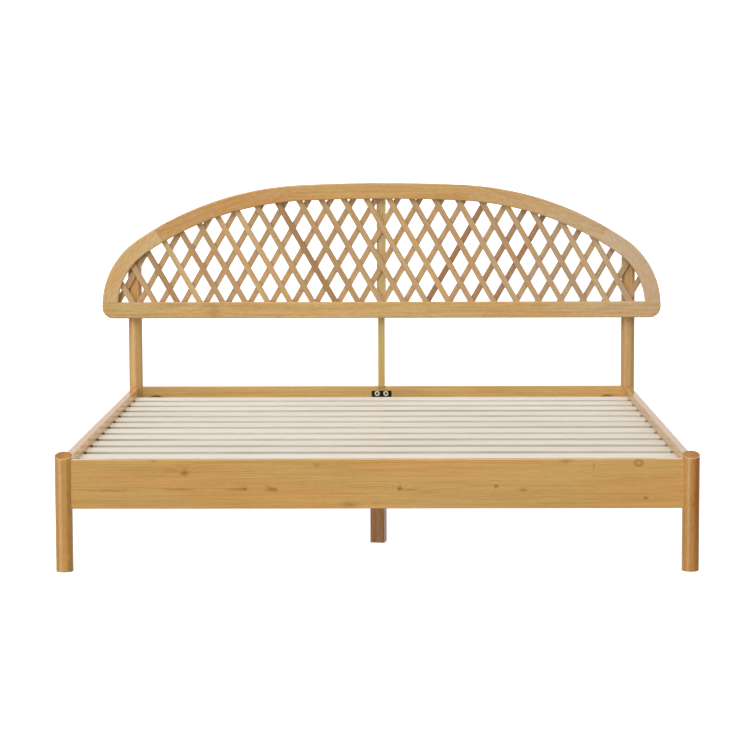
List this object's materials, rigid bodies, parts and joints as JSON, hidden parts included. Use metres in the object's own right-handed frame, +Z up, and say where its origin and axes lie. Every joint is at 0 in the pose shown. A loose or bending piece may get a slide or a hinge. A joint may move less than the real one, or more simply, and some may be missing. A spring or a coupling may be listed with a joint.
{
  "type": "bed frame",
  "caption": "Low wooden bed frame for a king mattress, with round posts, rails, a slatted deck on a centre beam, and an arched headboard filled with a crossed-stick lattice.",
  "frame": {"origin": "on the floor, under the middle of the frame", "axes": "+X across the bed to the right seen from the foot, +Y from the foot to the head, +Z up"},
  "size_m": [2.112, 2.124, 1.1109],
  "materials": {
    "frame_wood": "satin, honey toned",
    "lattice_wood": "satin, honey toned",
    "slat_wood": "planed, unfinished, pale",
    "support_wood": "stained brown",
    "black_steel": "black powder coat",
    "zinc_steel": "zinc plated",
    "insert_brass": "plain"
  },
  "bodies": {
    "root": {"arch_crown": "frame_wood", "arch_dowels": "slat_wood", "arch_haunch_left": "frame_wood", "arch_haunch_right": "frame_wood", "arch_side_left": "frame_wood", "arch_side_right": "frame_wood", "bracket_bolts": "zinc_steel", "centre_beam": "support_wood", "centre_leg_foot_end": "support_wood", "centre_leg_head_end": "support_wood", "foot_bracket": "black_steel", "foot_post_left": "frame_wood", "foot_post_right": "frame_wood", "foot_rail": "frame_wood", "head_bracket": "black_steel", "head_post_left": "frame_wood", "head_post_right": "frame_wood", "head_rail": "frame_wood", "headboard_bolts": "zinc_steel", "headboard_bottom_rail": "frame_wood", "headboard_inserts": "insert_brass", "headboard_screws": "zinc_steel", "lattice_front_sticks": "lattice_wood", "lattice_rear_sticks": "lattice_wood", "ledger_left": "slat_wood", "ledger_right": "slat_wood", "ledger_screws": "zinc_steel", "leg_bolts": "zinc_steel", "mullion": "frame_wood", "mullion_screws": "zinc_steel", "rail_bolts": "zinc_steel", "rail_nuts": "zinc_steel", "rail_washers": "zinc_steel", "side_rail_left": "frame_wood", "side_rail_right": "frame_wood", "slat_01": "slat_wood", "slat_02": "slat_wood", "slat_03": "slat_wood", "slat_04": "slat_wood", "slat_05": "slat_wood", "slat_06": "slat_wood", "slat_07": "slat_wood", "slat_08": "slat_wood", "slat_09": "slat_wood", "slat_10": "slat_wood", "slat_11": "slat_wood", "slat_12": "slat_wood", "slat_screws": "zinc_steel", "strut": "frame_wood", "strut_dowel": "slat_wood"}
  },
  "joints": []
}
